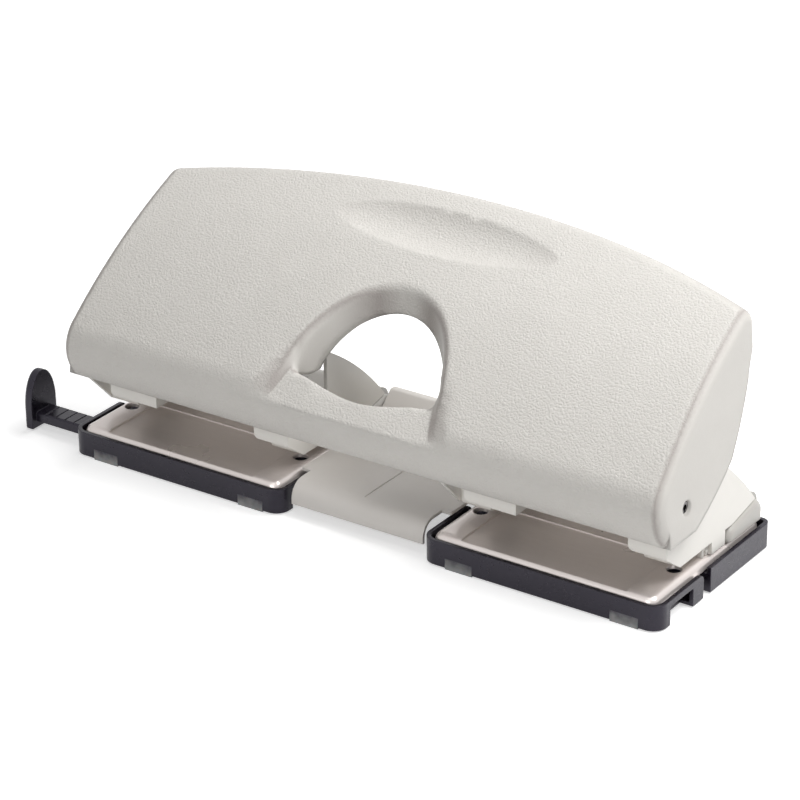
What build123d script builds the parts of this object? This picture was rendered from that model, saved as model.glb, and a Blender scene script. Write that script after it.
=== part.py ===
from build123d import *
import os
from math import acos, cos, degrees, hypot, pi, radians, sin, sqrt, tan

# A desk punch that makes a row of four holes: two two-hole units under one long lever.
# Millimetres. While it is modelled, X runs along the punch from its mid-plane, Y runs to the
# rear and Z runs up from the surface that the punch stands on.
os.makedirs("parts", exist_ok=True)

# Hole pattern and paper slot
HOLE_PITCH = 80.0           # between neighbouring punches
PAPER_EDGE = 12.0           # from a hole's centre to the paper's edge
PUNCH_Y = 7.2
SLOT_HEIGHT = 4.8
SHEET = 1.5                 # thickness of the steel sheet in the frames and tables

# Lever hinge
PIVOT_Y = -3.25
PIVOT_Z = 42.9
LEVER_SWING = 36.0          # degrees from rest to the end of the stroke
AXLE_R = 2.3
RUNNING_GAP = 0.05          # radial, for pins and punches in their holes
SEAT_GAP = 0.03             # radial, for pressed-in rods
LOOSE_GAP = 0.3             # between pieces that only lie near each other

# Feet and trays
FOOT_LIFT = 0.6             # clearance under the trays
TRAY_WALL = 1.6
TRAY_FLOOR = 1.4
TRAY_RIM_Z = 10.2
TRAY_FRONT_Y = -18.4
TRAY_REAR_Y = 12.4
TRAY_REAR_R = 2.5           # upper rear corner of a tray's end wall
TRAY_CORNER_R = 5.6
BASE_CORNER_R = 3.4
TRAY_REAR_WALL_Z = 7.6
BASE_FRONT_Y = 17.4
BASE_REAR_Y = 61.0
RIM_GAP = 1.4               # between a table's edge and the tray's wall
FOOT_WIDTH = 11.3
FOOT_DEPTH = 9.4
FOOT_HEIGHT = 4.2
FOOT_X = (-33.0, 35.1)      # front feet, from the unit's centre
REAR_FOOT_R = 4.5
REAR_FOOT_X = 38.0
REAR_FOOT_Y = (24.0, 54.5)
REAR_FOOT_THICK = 1.2

# Paper tables
TABLE_TOP_Z = 11.8
TABLE_MARGIN = 0.4          # table beyond the cheek's outer face
TABLE_FRONT_GAP = 0.6
TABLE_EDGE_R = 3.4          # rolled edge all round
TABLE_SKIRT_Z = 8.0
TABLE_CORNER_R = 4.0
TABLE_REAR_Y = 58.8
RECESS_HALF = 34.0
RECESS_DEPTH = 0.6
RECESS_REAR_Y = 14.0
DIE_GAP = 0.1               # radial, punch in its die hole

# Punch frames
PUNCH_TO_CHEEK = 5.6        # punch axis to the cheek's outer face
CHEEK_APEX_Y = 1.5
CHEEK_FRONT = (-12.5, 31.2)  # upper end of the left cheek's slanted front, (Y, Z)
FLANGE_Y = -8.0             # front face of the flanges
FLANGE_BOTTOM_Z = 23.4
FLANGE_TOP_Z = 35.5
FLANGE_CORNER_R = 2.0
RIGHT_FLANGE_WIDTH = 15.5
LEFT_FLANGE_FROM = -37.5
LEFT_FLANGE_WIDTH = 22.0
EAR_R = 7.0
NOTCH_FRONT_Y = 5.5
NOTCH_REAR_Y = 17.2
NOTCH_Z = 36.0
LOBE_TOP_Z = 52.6
LOBE_MID = (38.3, 37.5)     # point on the lobe's round back, (Y, Z)
LOBE_END_Y = 54.0
LOBE_END_Z = 21.2
LOBE_GAP = 0.4              # under the lobe, above the rear cover
LEG_FRONT_Y = 23.6
LEG_REAR_Y = 33.0
BACK_WALL_TOP_Z = 30.0
FOOT_FLANGE_WIDTH = 14.0
FOOT_FLANGE_FRONT_Y = 22.0

# Punch guides
GUIDE_FRONT_Y = 0.6
GUIDE_TOP_Z = 28.5
GUIDE_END = 12.5            # length of the deep part round each punch

# Punches, clips and springs
PUNCH_R = 2.75
PUNCH_REST = 0.3            # tip above the guide's lower face at rest
HEAD_R = 3.6
HEAD_HEIGHT = 2.0
HEAD_EDGE = 0.6
CLIP_R = 3.8
CLIP_THICK = 0.8
CLIP_GROOVE_R = 2.1
CLIP_MOUTH = 3.4
TIP_HOLLOW_R = 4.5
TIP_HOLLOW_DEPTH = 0.7
SPRING_WIRE_R = 0.35
SPRING_GAP = 0.2            # between the wire and the punch
SPRING_TURNS = 5
SPRING_END_GAP = 0.05
SPRING_SAMPLES = 200        # points on the wire at which its gap to itself is measured

# Press bars
BAR_R = 3.0
BAR_END_GAP = 0.7
BAR_HEAD_GAP = 0.3

# Lever shell
LEVER_WALL = 2.2
LEVER_SIDE_GAP = 3.3        # cheek to lever wall, at the height of the lip
LEVER_DRAFT = 5.05          # degrees that the end walls lean inwards
NOSE_R = 14.0               # rounded front of the lever
NOSE_Y = -6.8
NOSE_Z = 45.2
NOSE_LOW_R = 18.0           # larger round below the nose's front
NOSE_TOP_ANGLE = 135.0      # where the nose runs into the panel
FRONT_ANGLE = 180.0         # foremost point of the nose
NOSE_LIP_ANGLE = 226.5      # where the nose ends at the lip
PANEL_R = 210.5             # long curve of the top panel
PANEL_SPARE = 12.0          # panel past the arch, before it is trimmed
ARCH_R = 400.0              # plan radius of the arched rear edge
ARCH_BACK_Y = 69.0
END_EDGE_R = 4.5
ARCH_EDGE_R = 5.5
TRIM_MARGIN = 1.0           # outline beyond the outer face, so that only its lower edge cuts
TRIM_START_Y = 2.0          # the end walls' lower edge, from the lip to the skirt
TRIM_HEEL = (28.5, 48.0)
TRIM_BACK = (42.5, 73.0)
TRIM_SKIRT = (58.0, 91.5)
TRIM_END_Z = 103.0
TRIM_LOW_MID = (17.0, 40.0)
TRIM_BACK_MID = (36.5, 60.5)
TRIM_SKIRT_MID = (48.5, 85.0)
RIB_THICK = 2.4
RIB_X = 30.0                # ribs that hold the press bar, from the unit's centre
RIB_AXLE = ((-5.0, -5.4), (0.0, -6.5), (6.0, -5.3))  # its lower edge, (Y, Z) from the axle
RIB_BAR = ((2.8, -5.0), (5.5, 0.0))  # its rear edge, (Y, Z) from the press bar
HINGE_RIB_GAP = 0.8         # between the inner cheek and the lever's hinge rib
HINGE_AXLE = ((-5.0, -6.0), (5.0, -6.0), (6.5, 0.0), (4.0, 6.5))  # hinge rib's edge, (Y, Z) from the axle
HINGE_FRONT_Z = (-4.5, 6.5)  # its height at the nose, from the axle
PIN_RECESS = 0.8            # depth of the axle's end in the end wall
PIN_SINK_R = 2.85
PIN_BORE_R = 1.1            # hollow end of the axle
PIN_BORE_DEPTH = 4.0
PIN_SLIT = 0.7

# Finger hole and thumb recess
HOLE_HALF = 32.5
HOLE_RIM_R = 4.5            # rolled edge round the hole
HOLE_CORNER_R = 2.5
HOLE_DEPTH = 41.2           # plan half-axis from the hole's base line to its top
HOLE_BASE_Y = -20.5
RIDGE_Y = -11.1
RIDGE_RISE = 4.2            # the ridge bends back towards its ends
RIDGE_HALF = 32.0
BAND_START = (-20.9, 47.2)  # crease below the finger hole, (Y, Z)
BAND_SLOPE = 42.5           # degrees
BAND_HALF = 35.5            # at the crease
BAND_REAR_HALF = 31.0       # at the ridge
BAND_LAP = 3.0              # band's cut beyond the ridge, into the hole
HOLE_ARCH_R = 29.0
HOLE_ARCH_Z = 45.0
HOLE_WALL_Z = 52.0          # lower edge of the hole's side walls
HOLE_LIP_Z = 42.0
THUMB_HALF = 48.0
THUMB_WIDTH = 12.0          # half-width
THUMB_DEPTH = 3.8
THUMB_Y = 44.5

# Rear covers, bridge and fasteners
COVER_FRONT_Y = 34.0
COVER_REAR_Y = 58.9
COVER_SIDE_Z = 17.0
COVER_CREST_Z = 20.0        # rear of the top, outside the cheeks
COVER_TOP_Z = 22.0
COVER_REAR_Z = 14.0         # top of the upright rear wall
COVER_WALL = 1.6
COVER_FRONT_R = 4.0
COVER_REAR_R = 6.0
COVER_EDGE_R = 2.6
BRIDGE_THICK = 1.2
BRIDGE_FRONT_HALF = 29.0
BRIDGE_SIDE_GAP = 0.3
BRIDGE_STEP_Y = -1.5
BRIDGE_FRONT_Y = -14.0
BRIDGE_LIP_Z = 4.4
BRIDGE_ROLL = 6.0           # rounded front edge
BRIDGE_RAMP_R = 5.0
BRIDGE_RAMP_Y = 46.0
BRIDGE_TOP_Z = 22.5
BRIDGE_CREST = 3.0          # narrow flat along the top of the ramp
BRIDGE_BEND_R = 1.2
BRIDGE_REAR_Y = 60.0
TONGUE_FRONT_Y = 35.0
TONGUE_WIDTH = 9.0
TONGUE_REACH = 12.0
TONGUE_ROOT = 4.0           # length that lies on the plate
TONGUE_GAP = 0.1
CENTRE_LINE_WIDTH = 0.6
CENTRE_LINE_DEPTH = 0.3
RIVET_R = 1.5
RIVET_INSET = 9.0           # from the cheek's inner face
RIVET_HEAD_R = 2.8
RIVET_HEAD_H = 1.0
RIVET_Y = (24.8, 29.8)
SCREW_R = 1.5
SCREW_HEAD_R = 2.8
SCREW_HEAD_H = 1.6
SCREW_SLOT = 0.7            # width and depth of the slot in its head
SCREW_BOSS_R = 4.0
REAR_SCREW = (32.0, 48.0)   # from the unit's centre, (X, Y)
FRONT_SCREW = (20.0, 26.0)

# Paper guide
GUIDE_BAR_Y = (-10.0, -0.4)
GUIDE_BAR_Z = (3.6, 7.4)
GUIDE_BAR_INNER_X = -58.0
GUIDE_REACH = 25.0          # thumb plate beyond the tray's end
THUMB_PLATE_THICK = 4.0
THUMB_PLATE_HALF = 7.25
THUMB_PLATE_Z = (0.9, 23.5)
THUMB_PLATE_ARCH = 14.0     # height of its round top
GUIDE_TICKS = 4
TICK_PITCH = 4.5
TICK_WIDTH = 0.7
TICK_DEPTH = 0.3
RAIL_THICK = 1.2
CHANNEL_FRONT_GAP = 0.5     # between the bar and the front of its channel
CHANNEL_REAR_Y = 5.2
CHANNEL_TOP_Z = 7.8
CHANNEL_CORNER_R = 0.8
CHANNEL_DEPTH = 5.2         # from the tray's end into its floor

# Places that follow from the sizes above
UNIT_X = HOLE_PITCH
PUNCH_X = HOLE_PITCH / 2
CHEEK_X = PUNCH_X + PUNCH_TO_CHEEK
CHEEK_INNER_X = CHEEK_X - SHEET
TABLE_HALF = CHEEK_X + TABLE_MARGIN
TRAY_HALF = TABLE_HALF + RIM_GAP + TRAY_WALL
TABLE_FRONT_Y = TRAY_FRONT_Y + TRAY_WALL + TABLE_FRONT_GAP
BACK_STOP_Y = PUNCH_Y + PAPER_EDGE
GUIDE_BOTTOM_Z = TABLE_TOP_Z + SLOT_HEIGHT
LEVER_LIP_Z = NOSE_Z + NOSE_LOW_R * sin(radians(NOSE_LIP_ANGLE))
LEVER_ARM = PUNCH_Y - PIVOT_Y
BAR_Z = PIVOT_Z + LEVER_ARM * tan(radians(LEVER_SWING / 2))
HEAD_TOP_Z = BAR_Z - BAR_R - BAR_HEAD_GAP
CLIP_TOP_Z = HEAD_TOP_Z - HEAD_HEIGHT
TIP_Z = GUIDE_BOTTOM_Z + PUNCH_REST
LEVER_HALF = UNIT_X + CHEEK_X + LEVER_SIDE_GAP + LEVER_WALL
INNER_CHEEK_X = UNIT_X - CHEEK_X
HINGE_RIB_X = INNER_CHEEK_X - HINGE_RIB_GAP
FLOOR_TOP_Z = FOOT_LIFT + TRAY_FLOOR
COVER_HALF = TABLE_HALF + RIM_GAP / 2
TABLE_UNDER_Z = TABLE_TOP_Z - SHEET
SIDES = {"left": -1, "right": 1}

# Room for tools that only have to be longer than what they cut
FAR = 300.0
BELOW_Z = 20.0
TOUCH = 0.01                # tolerance when an edge is picked by its place


def along_x(face, x0, x1):
    """Push a face drawn in (Y, Z) from x0 to x1."""
    return Pos(x0, 0, 0) * extrude(Plane.YZ * face, amount=x1 - x0)


def along_z(face, z0, z1):
    """Push a face drawn in (X, Y) from z0 to z1."""
    return Pos(0, 0, z0) * extrude(face, amount=z1 - z0)


def block(x0, x1, y0, y1, z0, z1):
    """Box between two corners."""
    return Pos((x0 + x1) / 2, (y0 + y1) / 2, (z0 + z1) / 2) * Box(x1 - x0, y1 - y0, z1 - z0)


def rod_x(radius, x0, x1, y, z):
    """Round rod along X."""
    return Pos((x0 + x1) / 2, y, z) * Rot(0, 90, 0) * Cylinder(radius, x1 - x0)


def rod_z(radius, z0, z1, x, y):
    """Round rod along Z."""
    return Pos(x, y, (z0 + z1) / 2) * Cylinder(radius, z1 - z0)


def on_circle(centre, radius, angle):
    """Point on a circle in (Y, Z), with the angle in degrees from +Y."""
    return (centre[0] + radius * cos(radians(angle)), centre[1] + radius * sin(radians(angle)))


def polygon(points):
    """Face with straight sides."""
    return make_face(Polyline(*points, close=True))


# Lever


def panel_centre():
    """Centre of the panel's long curve in (Y, Z), on the nose's own radius."""
    return on_circle((NOSE_Y, NOSE_Z), NOSE_R - PANEL_R, NOSE_TOP_ANGLE)


def lever_front(inset):
    """Nose and panel curves in (Y, Z), from the lip to far behind, set in by inset."""
    low = (NOSE_Y + NOSE_LOW_R - NOSE_R, NOSE_Z)
    low_r = NOSE_LOW_R - inset
    lip = on_circle(low, low_r, NOSE_LIP_ANGLE)
    low_mid = on_circle(low, low_r, (NOSE_LIP_ANGLE + FRONT_ANGLE) / 2)
    nose = (NOSE_Y, NOSE_Z)
    nose_r = NOSE_R - inset
    front = on_circle(nose, nose_r, FRONT_ANGLE)
    nose_mid = on_circle(nose, nose_r, (FRONT_ANGLE + NOSE_TOP_ANGLE) / 2)
    nose_top = on_circle(nose, nose_r, NOSE_TOP_ANGLE)
    centre = panel_centre()
    panel_r = PANEL_R - inset
    end_angle = degrees(acos((ARCH_BACK_Y + PANEL_SPARE - centre[0]) / panel_r))
    panel_mid = on_circle(centre, panel_r, (NOSE_TOP_ANGLE + end_angle) / 2)
    panel_end = on_circle(centre, panel_r, end_angle)
    curves = [ThreePointArc(lip, low_mid, front), ThreePointArc(front, nose_mid, nose_top),
              ThreePointArc(nose_top, panel_mid, panel_end)]
    return lip, panel_end, curves


def lever_block(inset):
    """Solid under the panel, before it is hollowed, set in by inset."""
    lip, end, curves = lever_front(inset)
    below_lip = (lip[0], BELOW_Z)
    below_end = (end[0], BELOW_Z)
    curves += [Line(end, below_end), Line(below_end, below_lip), Line(below_lip, lip)]
    lean = tan(radians(LEVER_DRAFT))
    foot = LEVER_HALF - inset + (LEVER_LIP_Z - BELOW_Z) * lean
    top_z = BELOW_Z + FAR
    top = foot - FAR * lean
    ends = Plane.XZ * polygon([(-foot, BELOW_Z), (foot, BELOW_Z), (top, top_z), (-top, top_z)])
    arch = Pos(0, ARCH_BACK_Y - ARCH_R, 0) * Cylinder(ARCH_R - inset, 2 * FAR)
    return along_x(make_face(curves), -FAR, FAR) & extrude(ends, amount=FAR, both=True) & arch


def rounded_block(inset):
    """Lever block with its panel edges rounded."""
    body = lever_block(inset)
    arch_edges = body.edges().filter_by(lambda e: e.center().Y > ARCH_BACK_Y / 2 and e.length > LEVER_HALF)
    upper_arch = arch_edges.sort_by(Axis.Z)[-1:]
    body = fillet(upper_arch, ARCH_EDGE_R - inset)
    front_edges = body.edges().filter_by(
        lambda e: abs(e.center().X) > LEVER_HALF * 0.9 and e.center().Y < ARCH_BACK_Y / 2
        and e.center().Z > LEVER_LIP_Z and e.geom_type != GeomType.LINE)
    return fillet(front_edges, END_EDGE_R - inset)


def ridge_curve(half, front):
    """Plan of the ridge in front of the finger hole, whose ends bend back."""
    ends_y = front + RIDGE_RISE * (half / RIDGE_HALF) ** 2
    return ThreePointArc((half, ends_y), (0, front), (-half, ends_y))


def finger_hole(inset):
    """Way through the lever behind the ridge."""
    half = HOLE_HALF + inset
    ridge = ridge_curve(half, RIDGE_Y - inset)
    behind = make_face([ridge, Polyline(ridge @ 1, (-half, FAR), (half, FAR), ridge @ 0)])
    plan = behind & Pos(0, HOLE_BASE_Y) * Ellipse(half, HOLE_DEPTH + inset)
    return along_z(fillet(plan.vertices(), HOLE_CORNER_R + inset), BELOW_Z, FAR)


def finger_band(inset):
    """Room above the recessed band in front of the ridge."""
    half = BAND_HALF + inset
    slope = radians(BAND_SLOPE)
    start = (BAND_START[0] + inset * sin(slope), BAND_START[1] - inset * cos(slope))
    far = (start[0] + FAR * cos(slope), start[1] + FAR * sin(slope))
    near = (start[0] - FAR * cos(slope), start[1] - FAR * sin(slope))
    above = along_x(polygon([near, far, (near[0], far[1])]), -half, half)
    ridge = ridge_curve(BAND_REAR_HALF + inset, RIDGE_Y - inset + BAND_LAP)
    sides = Polyline(ridge @ 1, (-half, start[0]), (-half, -FAR), (half, -FAR), (half, start[0]), ridge @ 0)
    return along_z(make_face([ridge, sides]), BELOW_Z, FAR) & above


def pierced_block(inset):
    """Lever block with the finger hole, whose edge on the panel is rolled, set in by inset."""
    body = rounded_block(inset) - finger_hole(inset)
    centre = panel_centre()

    def on_rim(edge):
        points = [edge @ share for share in (0.25, 0.5, 0.75)]
        return all(abs(p.X) < HOLE_HALF + inset + TOUCH
                   and abs(hypot(p.Y - centre[0], p.Z - centre[1]) - PANEL_R + inset) < TOUCH for p in points)

    body = fillet(body.edges().filter_by(on_rim), HOLE_RIM_R - inset)
    return body - finger_band(inset) - thumb_scoop(inset)


def thumb_scoop(inset):
    """Spindle above the panel that hollows the long thumb recess."""
    centre = panel_centre()
    panel_z = centre[1] + sqrt(PANEL_R ** 2 - (THUMB_Y - centre[0]) ** 2)
    mid_r = (THUMB_WIDTH ** 2 + THUMB_DEPTH ** 2) / (2 * THUMB_DEPTH)
    lift = mid_r - THUMB_DEPTH
    out = ((THUMB_Y - centre[0]) / PANEL_R, (panel_z - centre[1]) / PANEL_R)
    reach = THUMB_HALF * 1.15
    drop = THUMB_DEPTH * (reach / THUMB_HALF) ** 2
    end_r = mid_r + inset - drop
    rim = ThreePointArc((-reach, end_r), (0, mid_r + inset), (reach, end_r))
    half_section = make_face([rim, Line((reach, end_r), (reach, 0)), Line((reach, 0), (-reach, 0)),
                              Line((-reach, 0), (-reach, end_r))])
    spindle = revolve(half_section, Axis.X)
    return Pos(0, THUMB_Y + lift * out[0], panel_z + lift * out[1]) * spindle


def lever_outline():
    """Side view of the lever, which trims its walls below and behind."""
    lip, end, curves = lever_front(-TRIM_MARGIN)
    wall_low = (TRIM_START_Y, LEVER_LIP_Z)
    skirt_end = (end[0], TRIM_END_Z)
    under_lip = (lip[0], LEVER_LIP_Z)
    curves += [Line(end, skirt_end), Line(skirt_end, TRIM_SKIRT),
               ThreePointArc(TRIM_SKIRT, TRIM_SKIRT_MID, TRIM_BACK),
               ThreePointArc(TRIM_BACK, TRIM_BACK_MID, TRIM_HEEL),
               ThreePointArc(TRIM_HEEL, TRIM_LOW_MID, wall_low),
               Line(wall_low, under_lip), Line(under_lip, lip)]
    return along_x(make_face(curves), -FAR, FAR)


def press_rib():
    """Rib in (Y, Z) between the panel, the axle and the press bar."""
    front = NOSE_Y - NOSE_R
    round_axle = [(PIVOT_Y + y, PIVOT_Z + z) for y, z in RIB_AXLE]
    round_bar = [(PUNCH_Y + y, BAR_Z + z) for y, z in RIB_BAR]
    return polygon([(front, PIVOT_Z), *round_axle, *round_bar, (round_bar[-1][0], FAR), (front, FAR)])


def hinge_rib():
    """Rib in (Y, Z) that carries the inner end of an axle."""
    front = NOSE_Y - NOSE_R - PIVOT_Y
    low, high = HINGE_FRONT_Z
    points = [(front, low), *HINGE_AXLE, (front, high)]
    return polygon([(PIVOT_Y + y, PIVOT_Z + z) for y, z in points])


def lever_shell():
    """Moulded shell with its ribs and bores."""
    shell = (pierced_block(0) - pierced_block(LEVER_WALL)) & lever_outline()
    rib_room = rounded_block(0) - finger_band(0)
    room = HOLE_HALF + 2 * LEVER_WALL
    shell -= block(-room, room, RIDGE_Y + LEVER_WALL, FAR, BELOW_Z, HOLE_WALL_Z)
    shell -= block(-room, room, RIDGE_Y - 1.2 * LEVER_WALL, FAR, BELOW_Z, HOLE_LIP_Z)
    arch = Pos(0, FAR / 2 + HOLE_BASE_Y / 4, HOLE_ARCH_Z) * Rot(90, 0, 0) * Cylinder(HOLE_ARCH_R, FAR)
    shell -= arch
    for side in SIDES.values():
        for place in (-RIB_X, RIB_X):
            x = side * UNIT_X + place
            shell += along_x(press_rib(), x - RIB_THICK / 2, x + RIB_THICK / 2) & rib_room
        x0, x1 = sorted((side * HINGE_RIB_X, side * (HINGE_RIB_X - RIB_THICK)))
        shell += along_x(hinge_rib(), x0, x1) & rib_room
    shell -= rod_x(AXLE_R + RUNNING_GAP, -FAR, FAR, PIVOT_Y, PIVOT_Z)
    for side in SIDES.values():
        sink = side * (LEVER_HALF - (PIVOT_Z - LEVER_LIP_Z) * tan(radians(LEVER_DRAFT)) - PIN_RECESS)
        x0, x1 = sorted((sink, side * FAR))
        shell -= rod_x(PIN_SINK_R, x0, x1, PIVOT_Y, PIVOT_Z)
        x = side * UNIT_X
        reach = RIB_X + RIB_THICK
        shell -= rod_x(BAR_R + SEAT_GAP, x - reach, x + reach, PUNCH_Y, BAR_Z)
    return shell


def press_bar():
    """Steel rod over both punch heads of a unit."""
    half = CHEEK_INNER_X - BAR_END_GAP
    bar = rod_x(BAR_R, -half, half, PUNCH_Y, BAR_Z)
    return chamfer(bar.edges().filter_by(GeomType.CIRCLE), HEAD_EDGE)


def axle(side):
    """Steel axle from the lever's end wall to its hinge rib, grooved for a clip and rolled at its outer end."""
    outer = LEVER_HALF - (PIVOT_Z - LEVER_LIP_Z) * tan(radians(LEVER_DRAFT)) - PIN_RECESS
    inner = HINGE_RIB_X - RIB_THICK - 2 * CLIP_THICK
    x0, x1 = sorted((side * inner, side * outer))
    pin = rod_x(AXLE_R, x0, x1, PIVOT_Y, PIVOT_Z)
    pin = chamfer(pin.edges().filter_by(GeomType.CIRCLE), HEAD_EDGE / 2)
    g0, g1 = axle_groove(side)
    groove = rod_x(2 * AXLE_R, g0, g1, PIVOT_Y, PIVOT_Z) - rod_x(CLIP_GROOVE_R, g0, g1, PIVOT_Y, PIVOT_Z)
    b0, b1 = sorted((side * (outer - PIN_BORE_DEPTH), side * FAR))
    half_slit = PIN_SLIT / 2
    bore = rod_x(PIN_BORE_R, b0, b1, PIVOT_Y, PIVOT_Z)
    bore += block(b0, b1, PIVOT_Y - half_slit, PIVOT_Y + half_slit, PIVOT_Z - 2 * AXLE_R, PIVOT_Z)
    return pin - groove - bore


def axle_groove(side):
    """Both sides of the clip groove near the axle's inner end."""
    start = HINGE_RIB_X - RIB_THICK - LOOSE_GAP
    return sorted((side * start, side * (start - CLIP_THICK)))


def axle_clip(side):
    """Open ring in the axle's groove."""
    g0, g1 = axle_groove(side)
    ring = rod_x(CLIP_R, g0, g1, PIVOT_Y, PIVOT_Z) - rod_x(CLIP_GROOVE_R, g0, g1, PIVOT_Y, PIVOT_Z)
    return ring - block(g0, g1, PIVOT_Y - CLIP_MOUTH / 2, PIVOT_Y + CLIP_MOUTH / 2, BELOW_Z, PIVOT_Z)


# Punches


def punch(x):
    """Hardened punch with a hollow-ground tip, a clip groove and a head."""
    shank = rod_z(PUNCH_R, TIP_Z, CLIP_TOP_Z - CLIP_THICK, x, PUNCH_Y)
    hollow_z = TIP_Z + TIP_HOLLOW_DEPTH - TIP_HOLLOW_R
    shank -= Pos(x, PUNCH_Y, hollow_z) * Rot(90, 0, 0) * Cylinder(TIP_HOLLOW_R, 4 * PUNCH_R)
    neck = rod_z(CLIP_GROOVE_R, CLIP_TOP_Z - CLIP_THICK, CLIP_TOP_Z, x, PUNCH_Y)
    head = rod_z(HEAD_R, CLIP_TOP_Z, HEAD_TOP_Z, x, PUNCH_Y)
    head = fillet(head.edges().sort_by(Axis.Z)[-1], HEAD_EDGE)
    return shank + neck + head


def punch_clip(x):
    """Open ring under the punch head, which the spring pushes on."""
    z0 = CLIP_TOP_Z - CLIP_THICK
    ring = rod_z(CLIP_R, z0, CLIP_TOP_Z, x, PUNCH_Y) - rod_z(CLIP_GROOVE_R, z0, CLIP_TOP_Z, x, PUNCH_Y)
    half = CLIP_MOUTH / 2
    return ring - block(x - half, x + half, PUNCH_Y, PUNCH_Y + 2 * CLIP_R, z0, CLIP_TOP_Z)


def helix_point(turn, radius, z0, pitch):
    """Point and direction of travel of a helix after so many turns."""
    a = 2 * pi * turn
    point = Vector(radius * cos(a), radius * sin(a), z0 + pitch * turn)
    return point, Vector(-2 * pi * radius * sin(a), 2 * pi * radius * cos(a), pitch).normalized()


def biarc(p0, t0, p1, t1):
    """Two arcs that join two points in two given directions."""
    v = p1 - p0
    t = t0 + t1
    bend = 2 * (1 - t0.dot(t1))
    d = (sqrt(v.dot(t) ** 2 + bend * v.dot(v)) - v.dot(t)) / bend
    q0 = p0 + t0 * d
    q1 = p1 - t1 * d
    middle = (q0 + q1) * 0.5
    return [TangentArc(p0, middle, tangent=t0), TangentArc(middle, p1, tangent=q1 - q0)]


def return_spring(x):
    """Compression spring between the guide's top and the punch clip."""
    radius = PUNCH_R + SPRING_GAP + SPRING_WIRE_R
    z0 = GUIDE_TOP_Z + SPRING_WIRE_R + SPRING_END_GAP
    z1 = CLIP_TOP_Z - CLIP_THICK - SPRING_WIRE_R - SPRING_END_GAP
    pitch = (z1 - z0) / SPRING_TURNS
    arcs = []
    for quarter in range(4 * SPRING_TURNS):
        p0, t0 = helix_point(quarter / 4, radius, z0, pitch)
        p1, t1 = helix_point((quarter + 1) / 4, radius, z0, pitch)
        arcs += biarc(p0, t0, p1, t1)
    start, direction = helix_point(0, radius, z0, pitch)
    section = Plane(origin=start, z_dir=direction) * Circle(SPRING_WIRE_R)
    path = Wire(arcs)
    coil = sweep(section, path=path)
    points = [path @ (step / SPRING_SAMPLES) for step in range(SPRING_SAMPLES + 1)]
    half_turn = SPRING_SAMPLES // (2 * SPRING_TURNS)
    nearest = min((b - a).length for i, a in enumerate(points) for b in points[i + half_turn:])
    print("spring: least gap between turns", round(nearest - 2 * SPRING_WIRE_R, 2), "mm")
    return Pos(x, PUNCH_Y, 0) * coil


# Frames and guides


def lobe_bottom(y):
    """Lower edge of a cheek's lobe, which follows the rear cover's top."""
    shoulder = COVER_FRONT_Y + COVER_FRONT_R
    crest = COVER_REAR_Y - COVER_REAR_R
    return COVER_SIDE_Z + (COVER_CREST_Z - COVER_SIDE_Z) * (y - shoulder) / (crest - shoulder) + LOBE_GAP


def cheek_face(front):
    """Outline of a cheek in (Y, Z), with the upper end of its slanted front."""
    ear_front = (PIVOT_Y - EAR_R, PIVOT_Z)
    ear_top = (PIVOT_Y, PIVOT_Z + EAR_R)
    ear_rear = (PIVOT_Y + EAR_R, PIVOT_Z)
    lobe_top = (NOTCH_REAR_Y, LOBE_TOP_Z)
    lobe_end = (LOBE_END_Y, LOBE_END_Z)
    low_shoulder = COVER_FRONT_Y + COVER_FRONT_R
    corners = [lobe_end, (LOBE_END_Y, lobe_bottom(LOBE_END_Y)), (low_shoulder, lobe_bottom(low_shoulder)),
               (LEG_REAR_Y, lobe_bottom(low_shoulder)), (LEG_REAR_Y, TABLE_TOP_Z), (LEG_FRONT_Y, TABLE_TOP_Z),
               (LEG_FRONT_Y, GUIDE_BOTTOM_Z), (CHEEK_APEX_Y, GUIDE_BOTTOM_Z), front, (front[0], FLANGE_TOP_Z),
               ear_front]
    edges = [Polyline(*corners), ThreePointArc(ear_front, ear_top, ear_rear),
             Polyline(ear_rear, (NOTCH_FRONT_Y, NOTCH_Z), (NOTCH_REAR_Y, NOTCH_Z), lobe_top),
             ThreePointArc(lobe_top, LOBE_MID, lobe_end)]
    return make_face(edges)


def front_flange(x0, x1):
    """Upright flange with one rounded lower corner on its left."""
    plate = block(x0, x1, FLANGE_Y, FLANGE_Y + SHEET, FLANGE_BOTTOM_Z, FLANGE_TOP_Z)
    corner = plate.edges().filter_by(Axis.Y).sort_by(Axis.X)[:2].sort_by(Axis.Z)[0]
    return fillet(corner, FLANGE_CORNER_R)


def punch_frame():
    """Two cheeks, the wall that stops the paper, foot flanges and the right front flange."""
    inner = CHEEK_INNER_X
    frame = block(-inner, inner, BACK_STOP_Y, BACK_STOP_Y + SHEET, TABLE_TOP_Z, BACK_WALL_TOP_Z)
    for side in SIDES.values():
        x0, x1 = sorted((side * inner, side * CHEEK_X))
        front = CHEEK_FRONT if side < 0 else (FLANGE_Y, FLANGE_BOTTOM_Z)
        frame += along_x(cheek_face(front), x0, x1)
        f0, f1 = sorted((side * inner, side * (inner - FOOT_FLANGE_WIDTH)))
        frame += block(f0, f1, FOOT_FLANGE_FRONT_Y, LEG_REAR_Y, TABLE_TOP_Z, TABLE_TOP_Z + SHEET)
    frame += front_flange(CHEEK_X - RIGHT_FLANGE_WIDTH, CHEEK_X)
    for place in rivet_places():
        frame -= rod_z(RIVET_R, TABLE_TOP_Z, TABLE_TOP_Z + SHEET, *place)
    return frame - rod_x(AXLE_R + SEAT_GAP, -FAR, FAR, PIVOT_Y, PIVOT_Z)


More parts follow.
